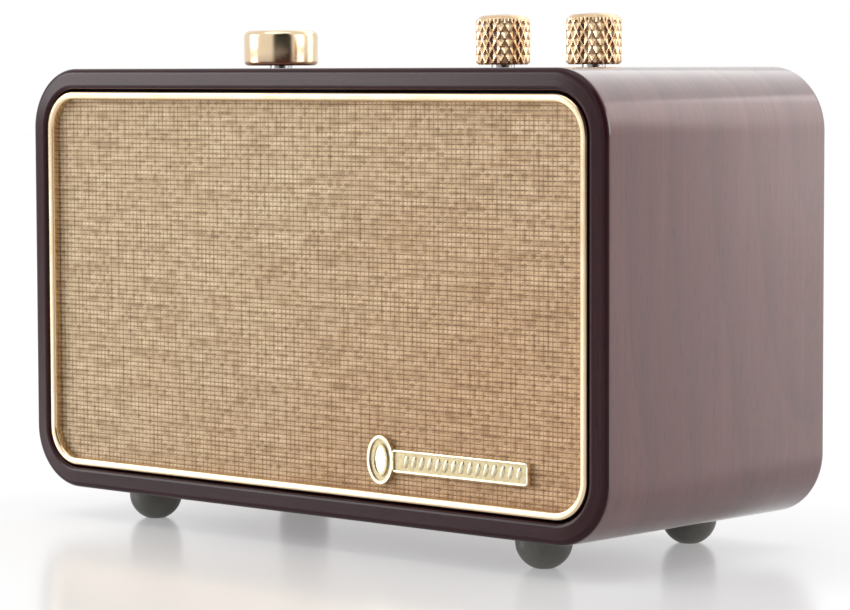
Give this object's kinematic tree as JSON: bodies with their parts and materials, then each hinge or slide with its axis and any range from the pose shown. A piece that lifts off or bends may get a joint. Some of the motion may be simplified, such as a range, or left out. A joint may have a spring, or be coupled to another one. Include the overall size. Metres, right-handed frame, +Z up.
{
  "type": "portable radio",
  "caption": "Table-top portable radio: veneered wooden cabinet on rubber feet, cloth grille in a gilt bezel, turning knobs on top, and drivers and electronics inside.",
  "frame": {"origin": "on the table, under the middle of the cabinet (bottom centre of the bounding box)", "axes": "+Z up, front facing -Y, +X to the right seen from the front"},
  "size_m": [0.2, 0.0864, 0.1336],
  "materials": {
    "veneer": "satin",
    "pine": "matte",
    "black_board": "matte",
    "gilt_metal": "polished",
    "pale_gilt": "polished",
    "knurled_brass": "polished",
    "grille_weave": "woven",
    "foot_rubber": "satin",
    "black_plastic": "fine texture",
    "foam": "matte",
    "black_screw": "satin",
    "bright_steel": "bright",
    "basket_steel": "satin",
    "surround_rubber": "satin",
    "cone_paper": "matte",
    "coil_copper": "lacquered",
    "spider_cloth": "matte",
    "plated_iron": "plated",
    "ferrite": "matte",
    "circuit_board": "solder mask",
    "white_nylon": "matte",
    "control_metal": "satin",
    "cell_wrap": "shrink wrap",
    "red_lead": "satin",
    "black_lead": "satin",
    "grey_lead": "satin"
  },
  "bodies": {
    "cabinet_body": {"cabinet": "veneer", "rear_frame": "pine", "baffle": "black_board", "bezel": "gilt_metal", "grille_frame": "black_plastic", "grille_cloth": "grille_weave", "badge": "pale_gilt", "foot_front_left": "foot_rubber", "foot_front_right": "foot_rubber", "foot_rear_left": "foot_rubber", "foot_rear_right": "foot_rubber", "foot_screws": "bright_steel", "rear_panel": "black_plastic", "rear_gasket": "foam", "rear_panel_screws": "black_screw", "bass_port": "black_plastic", "left_basket": "basket_steel", "left_surround": "surround_rubber", "left_spider": "spider_cloth", "right_basket": "basket_steel", "right_surround": "surround_rubber", "right_spider": "spider_cloth", "driver_top_plates": "plated_iron", "driver_magnets": "ferrite", "driver_yokes": "plated_iron", "driver_gaskets": "foam", "driver_screws": "bright_steel", "main_board": "circuit_board", "receiver_shield": "bright_steel", "main_board_screws": "bright_steel", "usb_socket": "bright_steel", "aux_socket": "black_plastic", "control_board": "circuit_board", "control_board_spacers": "white_nylon", "control_board_screws": "bright_steel", "encoder_body": "control_metal", "encoder_dome": "bright_steel", "volume_pot_body": "control_metal", "tone_pot_body": "control_metal", "battery_cells": "cell_wrap", "battery_tray": "black_plastic", "ferrite_rod": "ferrite", "aerial_coil": "coil_copper", "aerial_clips": "white_nylon", "driver_leads": "red_lead", "battery_lead": "black_lead", "control_lead": "grey_lead"},
    "encoder_push": {"encoder_plunger": "white_nylon"},
    "tuning_control": {"encoder_shaft": "control_metal", "tuning_knob": "gilt_metal"},
    "volume_control": {"volume_pot_shaft": "control_metal", "volume_knob": "knurled_brass"},
    "tone_control": {"tone_pot_shaft": "control_metal", "tone_knob": "knurled_brass"},
    "left_diaphragm": {"left_cone": "cone_paper", "left_dust_cap": "cone_paper", "left_voice_coil": "coil_copper"},
    "right_diaphragm": {"right_cone": "cone_paper", "right_dust_cap": "cone_paper", "right_voice_coil": "coil_copper"}
  },
  "joints": [
    {"name": "tuning_push", "type": "slide", "parent": "cabinet_body", "child": "encoder_push", "axis": [0, 0, -1], "range_m": [0, 0.0005], "stiffness_N_per_m": 1000, "springref_m": -0.0008, "deforming": ["encoder_dome"]},
    {"name": "tuning_turn", "type": "hinge", "parent": "encoder_push", "child": "tuning_control", "pos_m": [-0.055, 0.00675, 0.1202], "axis": [0, 0, 1], "continuous": true},
    {"name": "volume_turn", "type": "hinge", "parent": "cabinet_body", "child": "volume_control", "pos_m": [0.025, 0.00675, 0.1202], "axis": [0, 0, 1], "range_deg": [-150, 150]},
    {"name": "tone_turn", "type": "hinge", "parent": "cabinet_body", "child": "tone_control", "pos_m": [0.055, 0.00675, 0.1202], "axis": [0, 0, 1], "range_deg": [-150, 150]},
    {"name": "left_cone_travel", "type": "slide", "parent": "cabinet_body", "child": "left_diaphragm", "axis": [0, 1, 0], "range_m": [-0.0015, 0.0015], "stiffness_N_per_m": 250, "deforming": ["left_surround", "left_spider"]},
    {"name": "right_cone_travel", "type": "slide", "parent": "cabinet_body", "child": "right_diaphragm", "axis": [0, 1, 0], "range_m": [-0.0015, 0.0015], "stiffness_N_per_m": 250, "deforming": ["right_surround", "right_spider"]}
  ]
}
